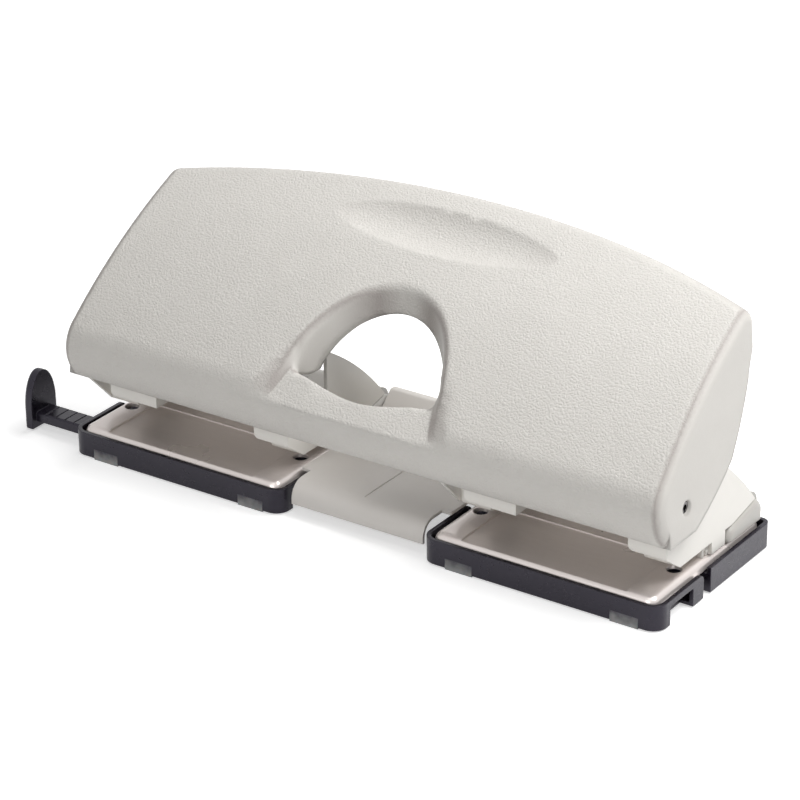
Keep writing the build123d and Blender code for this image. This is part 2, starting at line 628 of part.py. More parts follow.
def punch_guide():
    """Plate between the cheeks, deep round each punch, with the left front flange."""
    half = CHEEK_INNER_X
    rear = BACK_STOP_Y
    guide = block(-half, half, GUIDE_FRONT_Y, rear, GUIDE_BOTTOM_Z, GUIDE_TOP_Z)
    guide = fillet(guide.edges().filter_by(Axis.X).sort_by(Axis.Y)[:2], SHEET)
    guide -= block(-half, half, GUIDE_FRONT_Y + SHEET, rear, GUIDE_BOTTOM_Z + SHEET, GUIDE_TOP_Z - SHEET)
    middle = half - GUIDE_END
    guide -= block(-middle, middle, GUIDE_FRONT_Y, rear, GUIDE_BOTTOM_Z, GUIDE_TOP_Z - SHEET)
    right = LEFT_FLANGE_FROM + LEFT_FLANGE_WIDTH
    guide += front_flange(LEFT_FLANGE_FROM, right)
    arm_rear = GUIDE_FRONT_Y + 2 * SHEET
    guide += block(right - SHEET, right, FLANGE_Y, arm_rear, FLANGE_BOTTOM_Z, GUIDE_TOP_Z - SHEET / 2)
    for x in (-PUNCH_X, PUNCH_X):
        guide -= rod_z(PUNCH_R + RUNNING_GAP, BELOW_Z / 2, GUIDE_TOP_Z, x, PUNCH_Y)
    return guide


def rivet_places():
    """Rivets through the foot flanges, from the unit's centre."""
    x = CHEEK_INNER_X - RIVET_INSET
    return [(side * x, y) for side in SIDES.values() for y in RIVET_Y]


def rivet(x, y):
    """Round-headed rivet through a foot flange and the table."""
    z0 = TABLE_UNDER_Z
    z1 = TABLE_TOP_Z + SHEET
    body = rod_z(RIVET_R, z0, z1, x, y)
    head = rod_z(RIVET_HEAD_R, z1, z1 + RIVET_HEAD_H, x, y)
    tail = rod_z(RIVET_HEAD_R, z0 - RIVET_HEAD_H, z0, x, y)
    head = fillet(head.edges().sort_by(Axis.Z)[-1], RIVET_HEAD_H / 2)
    tail = fillet(tail.edges().sort_by(Axis.Z)[0], RIVET_HEAD_H / 2)
    return body + head + tail


# Tables, trays and rear bases


def table_form(inset):
    """Solid under a table's rolled surface, set in by inset."""
    front = TABLE_FRONT_Y + inset
    rear = TABLE_REAR_Y - inset
    half = TABLE_HALF - inset
    plan = Pos(0, (front + rear) / 2) * RectangleRounded(2 * half, rear - front, TABLE_CORNER_R - inset)
    form = along_z(plan, TABLE_SKIRT_Z - inset, TABLE_TOP_Z - inset)
    form = fillet(form.faces().sort_by(Axis.Z)[-1].edges(), TABLE_EDGE_R - inset)
    ridge = RECESS_HALF + inset
    floor = TABLE_TOP_Z - inset - RECESS_DEPTH
    return form - block(-ridge, ridge, -FAR, RECESS_REAR_Y + inset, floor, FAR)


def paper_table():
    """Pressed steel table with skirts, a shallow recess, die holes and holes for its fasteners."""
    table = table_form(0) - table_form(SHEET)
    for x in (-PUNCH_X, PUNCH_X):
        table -= rod_z(PUNCH_R + DIE_GAP, 0, BELOW_Z, x, PUNCH_Y)
    for place in rivet_places():
        table -= rod_z(RIVET_R, 0, BELOW_Z, *place)
    for place in screw_places():
        table -= rod_z(SCREW_R, 0, BELOW_Z, *place)
    return table


def screw_places():
    """Screws that hold a rear base, from the unit's centre."""
    return [(side * x, y) for side in SIDES.values() for x, y in (REAR_SCREW, FRONT_SCREW)]


def tray_plan(y0, y1, inset, round_front):
    """Plan of a tray between y0 and y1, with two rounded corners."""
    half = TRAY_HALF - inset
    plate = Pos(0, (y0 + y1) / 2) * Rectangle(2 * half, y1 - y0)
    ordered = plate.vertices().sort_by(Axis.Y)
    if round_front:
        return fillet(ordered[:2], TRAY_CORNER_R - inset)
    return fillet(ordered[2:], BASE_CORNER_R - inset)


def chip_tray():
    """Front tray: open box with a guide channel through both ends and notches for its feet."""
    tray = along_z(tray_plan(TRAY_FRONT_Y, TRAY_REAR_Y, 0, True), FOOT_LIFT, TRAY_RIM_Z)
    room = tray_plan(TRAY_FRONT_Y + TRAY_WALL, TRAY_REAR_Y - TRAY_WALL, TRAY_WALL, True)
    tray -= along_z(room, FLOOR_TOP_Z, FAR)
    half = TRAY_HALF - TRAY_WALL
    tray -= block(-half, half, 0, FAR, TRAY_REAR_WALL_Z, FAR)
    rear_corners = tray.edges().filter_by(Axis.X).filter_by(
        lambda e: e.center().Y > TRAY_REAR_Y - TOUCH and e.center().Z > TRAY_RIM_Z - TOUCH)
    tray = fillet(rear_corners, TRAY_REAR_R)
    front = GUIDE_BAR_Y[0] - CHANNEL_FRONT_GAP
    mouth = Pos((front + CHANNEL_REAR_Y) / 2, 0) * Rectangle(CHANNEL_REAR_Y - front, 2 * CHANNEL_TOP_Z)
    mouth = fillet(mouth.vertices().sort_by(Axis.Y)[2:], CHANNEL_CORNER_R)
    for y in (GUIDE_BAR_Y[0] - LOOSE_GAP - RAIL_THICK, GUIDE_BAR_Y[1] + LOOSE_GAP):
        tray += block(-half, half, y, y + RAIL_THICK, FOOT_LIFT, GUIDE_BAR_Z[1])
    for share in (0.25, 0.75):
        y = GUIDE_BAR_Y[0] + share * (GUIDE_BAR_Y[1] - GUIDE_BAR_Y[0]) - RAIL_THICK / 2
        tray += block(-half, half, y, y + RAIL_THICK, FOOT_LIFT, GUIDE_BAR_Z[0] - LOOSE_GAP)
    for side in SIDES.values():
        x0, x1 = sorted((side * (TRAY_HALF - CHANNEL_DEPTH), side * FAR))
        tray -= along_x(mouth, x0, x1)
    for x in FOOT_X:
        tray -= front_foot(x)
    return tray


def front_foot(x):
    """Soft foot let into a tray's front wall and floor."""
    half = FOOT_WIDTH / 2
    front = TRAY_FRONT_Y
    wall = block(x - half, x + half, front, front + TRAY_WALL, 0, FOOT_HEIGHT)
    sole = block(x - half, x + half, front, front + FOOT_DEPTH, 0, FLOOR_TOP_Z)
    return wall + sole


def rear_base():
    """Rear tray: open box with screw bosses and shallow beds for its feet."""
    base = along_z(tray_plan(BASE_FRONT_Y, BASE_REAR_Y, 0, False), FOOT_LIFT, TRAY_RIM_Z)
    room = tray_plan(BASE_FRONT_Y + TRAY_WALL, BASE_REAR_Y - TRAY_WALL, TRAY_WALL, False)
    base -= along_z(room, FLOOR_TOP_Z, FAR)
    half = TRAY_HALF - TRAY_WALL
    base -= block(-half, half, 0, BASE_FRONT_Y + 2 * TRAY_WALL, TRAY_REAR_WALL_Z, FAR)
    for place in screw_places():
        base += rod_z(SCREW_BOSS_R, FOOT_LIFT, TABLE_UNDER_Z, *place)
    for place in screw_places():
        base -= rod_z(SCREW_R, 0, FAR, *place)
        base -= rod_z(SCREW_HEAD_R, 0, FOOT_LIFT + SCREW_HEAD_H, *place)
    for x, y in rear_foot_places():
        base -= rod_z(REAR_FOOT_R, 0, REAR_FOOT_THICK, x, y)
    return base


def rear_foot_places():
    """Rear feet, from the unit's centre."""
    return [(side * REAR_FOOT_X, y) for side in SIDES.values() for y in REAR_FOOT_Y]


def base_screw(x, y, top):
    """Countersunk-flush screw up through a boss and the table."""
    neck = FOOT_LIFT + SCREW_HEAD_H
    half = SCREW_SLOT / 2
    head = rod_z(SCREW_HEAD_R, FOOT_LIFT, neck, x, y)
    head -= block(x - SCREW_HEAD_R, x + SCREW_HEAD_R, y - half, y + half, 0, FOOT_LIFT + SCREW_SLOT)
    return head + rod_z(SCREW_R, neck, top, x, y)


# Rear covers and bridge


def cover_profile(inset, top):
    """Side view of a rear cover in (Y, Z), set in by inset."""
    low = TABLE_TOP_Z - (FAR if inset else 0)
    y0 = COVER_FRONT_Y + inset
    y1 = COVER_REAR_Y - inset
    foot = (y0, COVER_SIDE_Z - COVER_FRONT_R)
    shoulder = (y0 + COVER_FRONT_R - inset, COVER_SIDE_Z - inset)
    crest = (y1 - COVER_REAR_R + inset, top - inset)
    rear = (y1, COVER_REAR_Z)
    rise = (crest[0] - shoulder[0], crest[1] - shoulder[1])
    return make_face([TangentArc(shoulder, foot, tangent=(-rise[0], -rise[1])), Line(shoulder, crest),
                      TangentArc(crest, rear, tangent=rise), Polyline(rear, (y1, low), (y0, low), foot)])


def low_cover(inset):
    """Cover over a unit's whole width, under the cheeks."""
    half = COVER_HALF - inset
    return along_x(cover_profile(inset, COVER_CREST_Z), -half, half)


def cover_hump(inset):
    """Higher part of the cover, between the cheeks."""
    half = CHEEK_INNER_X - BAR_END_GAP - inset
    return along_x(cover_profile(inset, COVER_TOP_Z), -half, half)


def rear_cover(side):
    """Painted cover behind a punch frame, with a slot for the bridge's tongue and two screw bosses."""
    outer = low_cover(0)
    ends = outer.edges().filter_by(lambda e: abs(e.center().X) > CHEEK_X and e.center().Z > TABLE_TOP_Z)
    outer = fillet(ends, COVER_EDGE_R) + cover_hump(0)
    cover = outer - low_cover(COVER_WALL) - cover_hump(COVER_WALL)
    for x, y in screw_places():
        if y > COVER_FRONT_Y:
            cover += rod_z(SCREW_BOSS_R, TABLE_TOP_Z, FAR, x, y) & outer
            cover -= rod_z(SCREW_R, TABLE_TOP_Z, COVER_SIDE_Z - COVER_WALL, x, y)
    edge = -side * TABLE_HALF * 1.2
    x0, x1 = sorted((edge, edge + side * (TONGUE_REACH + TABLE_HALF * 0.2)))
    gap = TONGUE_GAP
    return cover - block(x0, x1, TONGUE_FRONT_Y - gap, TONGUE_FRONT_Y + TONGUE_WIDTH + gap, 0,
                         TABLE_TOP_Z + BRIDGE_THICK + gap)


def bridge_section():
    """Side view of the bridge plate in (Y, Z): lip, flat, ramp and rear lip."""
    half = BRIDGE_THICK / 2
    flat_z = TABLE_TOP_Z + half
    top_z = BRIDGE_TOP_Z - half
    front = BRIDGE_FRONT_Y + half
    rear = BRIDGE_REAR_Y - half
    middle = FilletPolyline((front, BRIDGE_LIP_Z), (front, flat_z), (BRIDGE_RAMP_Y, flat_z),
                            (rear - BRIDGE_CREST, top_z), (rear, top_z), (rear, BRIDGE_LIP_Z),
                            radius=[BRIDGE_ROLL, BRIDGE_RAMP_R, BRIDGE_BEND_R, BRIDGE_BEND_R])
    return trace(middle, BRIDGE_THICK)


def bridge_plate():
    """Plate between the units, with a tongue under each rear cover and a scribed centre line."""
    wide = UNIT_X - COVER_HALF - BRIDGE_SIDE_GAP
    plate = along_x(bridge_section(), -wide, wide)
    for side in SIDES.values():
        x0, x1 = sorted((side * BRIDGE_FRONT_HALF, side * FAR))
        plate -= block(x0, x1, -FAR, BRIDGE_STEP_Y, 0, FAR)
        b0, b1 = sorted((side * (UNIT_X - TRAY_HALF - BRIDGE_SIDE_GAP), side * FAR))
        plate -= block(b0, b1, BRIDGE_STEP_Y, FAR, 0, TABLE_TOP_Z)
        reach = UNIT_X - TABLE_HALF + TONGUE_REACH
        t0, t1 = sorted((side * (wide - TONGUE_ROOT), side * reach))
        rear = TONGUE_FRONT_Y + TONGUE_WIDTH
        plate += block(t0, t1, TONGUE_FRONT_Y, rear, TABLE_TOP_Z, TABLE_TOP_Z + BRIDGE_THICK)
    half = CENTRE_LINE_WIDTH / 2
    line_front = BRIDGE_FRONT_Y + BRIDGE_ROLL
    line_z = TABLE_TOP_Z + BRIDGE_THICK - CENTRE_LINE_DEPTH
    return plate - block(-half, half, line_front, BACK_STOP_Y, line_z, FAR)


# Paper guide


def paper_guide():
    """Bar that slides in the left tray, with tick marks and a round-topped thumb plate."""
    plate_x = -UNIT_X - TRAY_HALF - GUIDE_REACH
    bar = block(plate_x, GUIDE_BAR_INNER_X, *GUIDE_BAR_Y, *GUIDE_BAR_Z)
    bar = chamfer(bar.edges().filter_by(Axis.X).sort_by(Axis.Z)[-2:], TICK_WIDTH)
    for tick in range(GUIDE_TICKS):
        x = plate_x + TICK_PITCH * (tick + 1)
        bar -= block(x, x + TICK_WIDTH, *GUIDE_BAR_Y, GUIDE_BAR_Z[1] - TICK_DEPTH, FAR)
    middle = (GUIDE_BAR_Y[0] + GUIDE_BAR_Y[1]) / 2
    z0, z1 = THUMB_PLATE_Z
    spring_z = z1 - THUMB_PLATE_ARCH
    half = THUMB_PLATE_HALF
    arch = EllipticalCenterArc((middle, spring_z), half, THUMB_PLATE_ARCH, start_angle=0, arc_size=180)
    sides = Polyline(arch @ 1, (middle - half, z0), (middle + half, z0), arch @ 0)
    plate = along_x(make_face([arch, sides]), plate_x - THUMB_PLATE_THICK, plate_x)
    plate = fillet(plate.faces().sort_by(Axis.X)[0].edges(), TICK_PITCH / 3)
    return bar + plate


# Assembly
nodes = {}
for name, side in SIDES.items():
    place = Pos(side * UNIT_X, 0, 0)
    nodes["paper_table_" + name] = place * paper_table()
    nodes["chip_tray_" + name] = place * chip_tray()
    nodes["rear_base_" + name] = place * rear_base()
    nodes["rear_cover_" + name] = place * rear_cover(side)
    nodes["punch_frame_" + name] = place * punch_frame()
    nodes["punch_guide_" + name] = place * punch_guide()
    nodes["press_bar_" + name] = place * press_bar()
    nodes["axle_" + name] = axle(side)
    nodes["front_feet_" + name] = place * Compound([front_foot(x) for x in FOOT_X])

punch_places = [side * UNIT_X + x for side in SIDES.values() for x in (-PUNCH_X, PUNCH_X)]
for number, x in enumerate(punch_places, 1):
    nodes[f"punch_{number}"] = punch(x)
    nodes[f"punch_clip_{number}"] = punch_clip(x)
    nodes[f"return_spring_{number}"] = return_spring(x)

nodes["lever_shell"] = lever_shell()
nodes["bridge_plate"] = bridge_plate()
nodes["paper_guide"] = paper_guide()
nodes["axle_clips"] = Compound([axle_clip(side) for side in SIDES.values()])
units = [side * UNIT_X for side in SIDES.values()]
nodes["frame_rivets"] = Compound([rivet(u + x, y) for u in units for x, y in rivet_places()])
nodes["base_screws"] = Compound([
    base_screw(u + x, y, COVER_SIDE_Z - COVER_WALL if y > COVER_FRONT_Y else TABLE_TOP_Z)
    for u in units for x, y in screw_places()])
nodes["rear_feet"] = Compound([
    rod_z(REAR_FOOT_R, 0, REAR_FOOT_THICK, u + x, y) for u in units for x, y in rear_foot_places()])

# The part's origin is the middle of its footprint, on the surface that it stands on
box = Compound([piece for piece in nodes.values()]).bounding_box()
to_origin = Pos(-(box.min.X + box.max.X) / 2, -(box.min.Y + box.max.Y) / 2, -box.min.Z)
for name, piece in nodes.items():
    export_step(to_origin * piece, f"parts/{name}.step")
print("origin in the modelling frame", round(-to_origin.position.X, 4), round(-to_origin.position.Y, 4))
print("size", [round(v, 3) for v in box.size])
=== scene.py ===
import bmesh
import bpy
from math import cos, pi, radians, sin
from mathutils import Color, Matrix, Vector
from mathutils.geometry import intersect_point_line


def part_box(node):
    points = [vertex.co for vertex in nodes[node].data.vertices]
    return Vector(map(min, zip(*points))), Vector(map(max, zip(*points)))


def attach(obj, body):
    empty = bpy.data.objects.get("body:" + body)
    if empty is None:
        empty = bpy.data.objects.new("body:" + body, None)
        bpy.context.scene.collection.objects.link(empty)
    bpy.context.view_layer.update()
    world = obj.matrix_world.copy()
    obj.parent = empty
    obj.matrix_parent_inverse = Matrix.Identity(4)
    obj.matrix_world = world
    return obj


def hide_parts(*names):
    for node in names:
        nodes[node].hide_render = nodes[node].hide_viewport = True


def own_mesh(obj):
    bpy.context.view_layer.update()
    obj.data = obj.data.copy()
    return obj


# A four-hole desk punch: moulded lever, plated tables, painted frames and black plastic trays.
# Metres and degrees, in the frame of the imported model.
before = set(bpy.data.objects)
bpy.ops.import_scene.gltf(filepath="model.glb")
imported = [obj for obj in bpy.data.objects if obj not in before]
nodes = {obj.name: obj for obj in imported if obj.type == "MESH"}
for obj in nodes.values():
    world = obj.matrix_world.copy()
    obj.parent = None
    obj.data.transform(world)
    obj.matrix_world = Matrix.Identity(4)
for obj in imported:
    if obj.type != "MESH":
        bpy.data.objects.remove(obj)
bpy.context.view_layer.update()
PUNCH_NUMBERS = range(1, 5)

# Camera
VIEW_AZIMUTH = 34.70        # from straight in front towards the right
VIEW_ELEVATION = 25.36
VIEW_ROLL = -0.67
VIEW_DISTANCE = 1.2074
VIEW_TARGET = Vector((0.0097, -0.00403, 0.03954))
SENSOR = 36.0               # millimetres, as is the lens
LENS = 148.63

# Light, with the place, the size and the power of each softbox
AMBIENT = 0.06
SOFTBOXES = {
    "key": ((0.45, 0.1, 0.62), (0.4, 0.3), 4.0),
    "sky": ((0.1, 0.45, 1.0), (0.9, 0.5), 6.5),
    "top": ((0.25, -0.3, 1.1), (0.8, 0.5), 1.8),
    "front": ((0.1, -1.3, 0.75), (1.0, 0.6), 6.5),
}
WHITE = (1, 1, 1, 1)

# Floor
FLOOR_HALF = 8.0
FLOOR_SHADE = 0.86
FLOOR_ROUGHNESS = 0.9
FLOOR_GLOW = 0.5            # round the object
FLOOR_GLOW_NEAR = 0.3       # distance at which the glow starts to rise
FLOOR_GLOW_FAR = 1.0        # distance at which it makes plain white

# Textures
NOISE_LOW = 0.25            # most values of a noise lie between these two
NOISE_HIGH = 0.75
BEVEL_SAMPLES = 6

# Marks of the tools on steel, as the scale of a noise along X, Y and Z
ROLLED_ALONG_X = (80.0, 900.0, 900.0)
TURNED_ABOUT_X = (2500.0, 400.0, 400.0)
TURNED_ABOUT_Z = (300.0, 300.0, 3000.0)
DRAWN = (900.0, 900.0, 900.0)

# Ends of the finger band, where it runs out softly into the lever's panel
BAND_MIDDLE_X = 0.01345
BAND_FRONT = (0.0355, -0.045, 0.0472)   # half length, Y and Z at the crease
BAND_REAR = (0.0315, -0.032, 0.0590)    # the same beyond the ridge
BAND_ENDS = [[Vector((BAND_MIDDLE_X + side * half, y, z)) for half, y, z in (BAND_FRONT, BAND_REAR)]
             for side in (-1, 1)]
SOFT_R = 0.009
SOFT_MARGIN = 1.3           # radii within which the mesh is made finer
SOFT_STEP = 0.0009          # longest edge of the finer mesh
SOFT_ROUNDS = 5             # rounds of halving, the last one of edges longer than a step
SOFT_RINGS = 6              # rings of the softened place, each one smoother than the ring around it
SOFT_PASSES = 15
SOFT_FACTOR = 0.5
EDGE_STEPS = 8              # parts of an edge, at whose ends its distance is taken
SAME_POINT = 1e-6
SHARP_ANGLE = 40
FLAT_WEIGHT = 100           # the most that large faces can count in the normals

# Return springs
COIL_SIDES = 12
COIL_STEPS = 28             # rings in each turn
COIL_TURNS = 6.5
COIL_CLOSED = 0.75          # closed turns at each end
WIRE_R = 0.00035
CLOSED_PITCH = 2.2 * WIRE_R


def placed(name, data):
    """New object in the scene."""
    obj = bpy.data.objects.new(name, data)
    bpy.context.scene.collection.objects.link(obj)
    return obj


# Materials


def screen(red, green, blue):
    """Colour written as it shows on a screen, 0 to 255, in the shader's linear values."""
    shown = Color((red / 255, green / 255, blue / 255))
    return (*shown.from_srgb_to_scene_linear(), 1.0)


def add(tree, kind, inputs=None, **settings):
    """New shader node with its settings and input values."""
    node = tree.nodes.new("ShaderNode" + kind)
    for name, value in settings.items():
        setattr(node, name, value)
    for name, value in (inputs or {}).items():
        node.inputs[name].default_value = value
    return node


class Finish:
    """Material whose layers are added one by one."""

    def __init__(self, name, **sockets):
        self.material = bpy.data.materials.new(name)
        self.material.use_nodes = True
        self.tree = self.material.node_tree
        self.shader = self.tree.nodes["Principled BSDF"]
        for socket, value in sockets.items():
            self.shader.inputs[socket.replace("_", " ")].default_value = value
        self.coords = add(self.tree, "TexCoord").outputs["Object"]

    def link(self, output, socket):
        self.tree.links.new(output, socket)

    def noise(self, scale, detail=3.0, roughness=0.5, coords=None):
        """Cloudy values around one half."""
        node = add(self.tree, "TexNoise", {"Scale": scale, "Detail": detail, "Roughness": roughness})
        self.link(coords or self.coords, node.inputs["Vector"])
        return node.outputs["Fac"]

    def marks(self, scales):
        """Noise with a scale of its own along each axis."""
        mapping = add(self.tree, "Mapping", {"Scale": scales})
        self.link(self.coords, mapping.inputs["Vector"])
        return self.noise(scale=1.0, roughness=0.6, coords=mapping.outputs["Vector"])

    def cells(self, scale):
        """Distance to the nearest border in a pattern of cells."""
        node = add(self.tree, "TexVoronoi", {"Scale": scale}, feature="DISTANCE_TO_EDGE")
        self.link(self.coords, node.inputs["Vector"])
        return node.outputs["Distance"]

    def spread(self, value, low, high, to_low=0.0, to_high=1.0):
        """Values between low and high brought to another range."""
        ranges = {"From Min": low, "From Max": high, "To Min": to_low, "To Max": to_high}
        node = add(self.tree, "MapRange", ranges)
        self.link(value, node.inputs["Value"])
        return node.outputs["Result"]

    def combine(self, operation, first, second):
        """Sum or product of two values."""
        node = add(self.tree, "Math", operation=operation)
        self.link(first, node.inputs[0])
        self.link(second, node.inputs[1])
        return node.outputs["Value"]

    def sideways(self):
        """Share of the surface's facing that points to either end of the object."""
        normal = add(self.tree, "TexCoord").outputs["Normal"]
        axes = add(self.tree, "SeparateXYZ")
        self.link(normal, axes.inputs[0])
        size = add(self.tree, "Math", operation="ABSOLUTE")
        self.link(axes.outputs["X"], size.inputs[0])
        return size.outputs["Value"]

    def height(self, nought, one):
        """Nought at one height in the object's frame and one at another."""
        axes = add(self.tree, "SeparateXYZ")
        self.link(self.coords, axes.inputs[0])
        return self.spread(axes.outputs["Z"], nought, one)

    def mix(self, value, colour):
        """Base colour drawn by a value towards a colour: the socket to draw it from, and the result."""
        node = add(self.tree, "Mix", data_type="RGBA")
        first, second = [socket for socket in node.inputs if socket.type == "RGBA"]
        result = next(socket for socket in node.outputs if socket.type == "RGBA")
        self.link(value, node.inputs["Factor"])
        second.default_value = colour
        self.link(result, self.shader.inputs["Base Color"])
        return first, result

    def mottle(self, value, low, high):
        """Base colour between two near shades."""
        first, result = self.mix(value, high)
        first.default_value = low
        return result

    def darken(self, value, colour, darker):
        """Base colour drawn from a mottled one towards a darker one."""
        first, _ = self.mix(value, darker)
        self.link(colour, first)

    def polish(self, value, low, high):
        """Roughness between two values."""
        roughness = self.spread(value, NOISE_LOW, NOISE_HIGH, low, high)
        self.link(roughness, self.shader.inputs["Roughness"])

    def relief(self, height, depth, edge):
        """Bump of so many metres, on a surface whose sharp edges look rounded."""
        rounded = add(self.tree, "Bevel", {"Radius": edge}, samples=BEVEL_SAMPLES)
        node = add(self.tree, "Bump", {"Strength": 1.0, "Distance": depth})
        self.link(rounded.outputs["Normal"], node.inputs["Normal"])
        self.link(height, node.inputs["Height"])
        self.link(node.outputs["Normal"], self.shader.inputs["Normal"])


def grained_plastic():
    """Pale moulded plastic with a pebbled leather grain, which fades on the smooth end walls, with painted
    shade where the panel rolls round into them.
    """
    finish = Finish("grained_plastic", Specular_IOR_Level=0.4)
    ends = finish.sideways()
    pebbles = finish.spread(finish.cells(scale=760.0), low=0.0, high=0.3)
    creases = finish.spread(finish.noise(scale=1100.0, roughness=0.6), low=0.3, high=0.7)
    fade = finish.spread(ends, low=0.25, high=0.6, to_low=1.0, to_high=0.15)
    grain = finish.combine("MULTIPLY", finish.combine("ADD", pebbles, creases), fade)
    colour = finish.mottle(finish.noise(scale=60.0, detail=4.0), screen(194, 191, 186), screen(201, 198, 193))
    # Painted shade: a dark band, set by which way the surface faces, where the panel rolls round into each
    # end wall.
    turning_away = finish.spread(ends, low=0.1, high=0.4)
    not_yet_end = finish.spread(ends, low=0.8, high=0.45)
    painted_roll_shade = finish.combine("MULTIPLY", turning_away, not_yet_end)
    finish.darken(finish.spread(painted_roll_shade, low=0.0, high=1.0, to_high=0.8), colour, screen(150, 143, 139))
    finish.polish(finish.noise(scale=900.0, detail=2.0), low=0.44, high=0.58)
    finish.relief(grain, depth=0.0001, edge=0.0022)
    return finish.material


def painted_steel(name, low, high):
    """Satin paint on sheet steel, with a faint orange peel."""
    finish = Finish(name, Specular_IOR_Level=0.45)
    finish.mottle(finish.noise(scale=45.0), low, high)
    finish.polish(finish.noise(scale=400.0, detail=2.0), low=0.3, high=0.42)
    finish.relief(finish.noise(scale=300.0, detail=1.0), depth=0.00002, edge=0.0004)
    return finish.material


def plated_steel(name, low, high):
    """Satin plating on pressed steel, with faint rolling marks along its length."""
    finish = Finish(name, Metallic=0.55)
    finish.mottle(finish.marks(ROLLED_ALONG_X), low, high)
    finish.polish(finish.noise(scale=45.0), low=0.26, high=0.34)
    finish.relief(finish.noise(scale=60.0, detail=1.0), depth=0.00001, edge=0.0006)
    return finish.material


def black_plastic():
    """Dark bluish moulded plastic with a fine spark-eroded texture."""
    finish = Finish("black_plastic", Specular_IOR_Level=0.45, Specular_Tint=(0.88, 0.84, 1.0, 1.0))
    finish.mottle(finish.noise(scale=80.0, detail=4.0), screen(10, 7, 14), screen(20, 16, 26))
    finish.polish(finish.noise(scale=600.0), low=0.24, high=0.38)
    finish.relief(finish.noise(scale=2600.0, detail=2.0), depth=0.00003, edge=0.0005)
    return finish.material


def bare_steel(name, colour, scales, low, high):
    """Steel with fine tool marks, and a roughness between two values."""
    finish = Finish(name, Metallic=1.0, Base_Color=colour)
    marks = finish.marks(scales)
    finish.polish(marks, low, high)
    finish.relief(marks, depth=0.00002, edge=0.00015)
    return finish.material


def soft_rubber():
    """Cloudy rubber, paler towards its lower edge."""
    finish = Finish("soft_rubber", Subsurface_Weight=0.25, Subsurface_Scale=0.002)
    cloud = finish.noise(scale=300.0, detail=4.0)
    cloud = finish.spread(cloud, low=0.3, high=0.7, to_low=-0.25, to_high=0.25)
    paleness = finish.combine("ADD", finish.height(nought=0.0045, one=0.0005), cloud)
    finish.mottle(paleness, screen(58, 56, 64), screen(150, 150, 150))
    finish.polish(finish.noise(scale=500.0), low=0.5, high=0.68)
    finish.relief(finish.noise(scale=1500.0), depth=0.00004, edge=0.0004)
    return finish.material


def both(name):
    """Names of a left and a right node."""
    return [f"{name}_left", f"{name}_right"]


def each(name):
    """Names of the nodes that each punch has one of."""
    return [f"{name}_{number}" for number in PUNCH_NUMBERS]


materials = {
    "lever_plastic": grained_plastic(),
    "table_steel": plated_steel("table_steel", screen(222, 213, 209), screen(230, 222, 218)),
    "cream_steel": painted_steel("cream_steel", screen(222, 219, 213), screen(228, 225, 219)),
    "cream_plastic": painted_steel("cream_plastic", screen(174, 171, 166), screen(180, 177, 172)),
    "bridge_grey": painted_steel("bridge_grey", screen(216, 211, 206), screen(222, 218, 213)),
    "black_plastic": black_plastic(),
    "steel": bare_steel("steel", screen(190, 190, 190), TURNED_ABOUT_X, low=0.18, high=0.34),
    "punch_steel": bare_steel("punch_steel", screen(178, 178, 182), TURNED_ABOUT_Z, low=0.12, high=0.26),
    "spring_steel": bare_steel("spring_steel", screen(150, 150, 154), DRAWN, low=0.22, high=0.36),
    "dark_steel": bare_steel("dark_steel", screen(96, 94, 94), TURNED_ABOUT_X, low=0.2, high=0.34),
    "foot_rubber": soft_rubber(),
}

material_nodes = {
    "lever_plastic": ["lever_shell"],
    "table_steel": both("paper_table"),
    "cream_steel": both("punch_frame") + both("punch_guide"),
    "cream_plastic": both("rear_cover"),
    "bridge_grey": ["bridge_plate"],
    "black_plastic": both("chip_tray") + both("rear_base") + ["paper_guide"],
    "steel": both("press_bar") + each("punch_clip") + ["axle_clips", "frame_rivets", "base_screws"],
    "dark_steel": both("axle"),
    "punch_steel": each("punch"),
    "spring_steel": each("return_spring"),
    "foot_rubber": both("front_feet") + ["rear_feet"],
}

for material_name, node_names in material_nodes.items():
    for node_name in node_names:
        node_materials = nodes[node_name].data.materials
        node_materials.clear()
        node_materials.append(materials[material_name])


# Lever


def band_distance(point):
    """Distance from a point to the nearer end of the finger band."""
    distances = []
    for front, rear in BAND_ENDS:
        _, share = intersect_point_line(point, front, rear)
        nearest = front.lerp(rear, min(max(share, 0.0), 1.0))
        distances.append((point - nearest).length)
    return min(distances)


def edge_distance(edge):
    """Distance from an edge to the nearer end of the band, taken at some points along the edge."""
    first, last = [vert.co for vert in edge.verts]
    return min(band_distance(first.lerp(last, step / EDGE_STEPS)) for step in range(EDGE_STEPS + 1))


def make_finer(shape):
    """Halve the edges near the band's ends in rounds, the longest ones first."""
    for rounds_left in reversed(range(SOFT_ROUNDS)):
        length = 2 ** rounds_left * SOFT_STEP
        longer = [edge for edge in shape.edges
                  if edge.calc_length() > length and edge_distance(edge) < SOFT_MARGIN * SOFT_R]
        bmesh.ops.subdivide_edges(shape, edges=longer, cuts=1)
        bmesh.ops.triangulate(shape, faces=[face for face in shape.faces if len(face.verts) > 3])


def soften(shape):
    """Smooth the places round the band's ends, most of all in their middle."""
    reach = {vert: band_distance(vert.co) for vert in shape.verts}
    for ring in range(SOFT_RINGS, 0, -1):
        loose = [vert for vert in shape.verts if reach[vert] < SOFT_R * ring / SOFT_RINGS]
        for _ in range(SOFT_PASSES):
            bmesh.ops.smooth_vert(shape, verts=loose, factor=SOFT_FACTOR,
                                  use_axis_x=True, use_axis_y=True, use_axis_z=True)


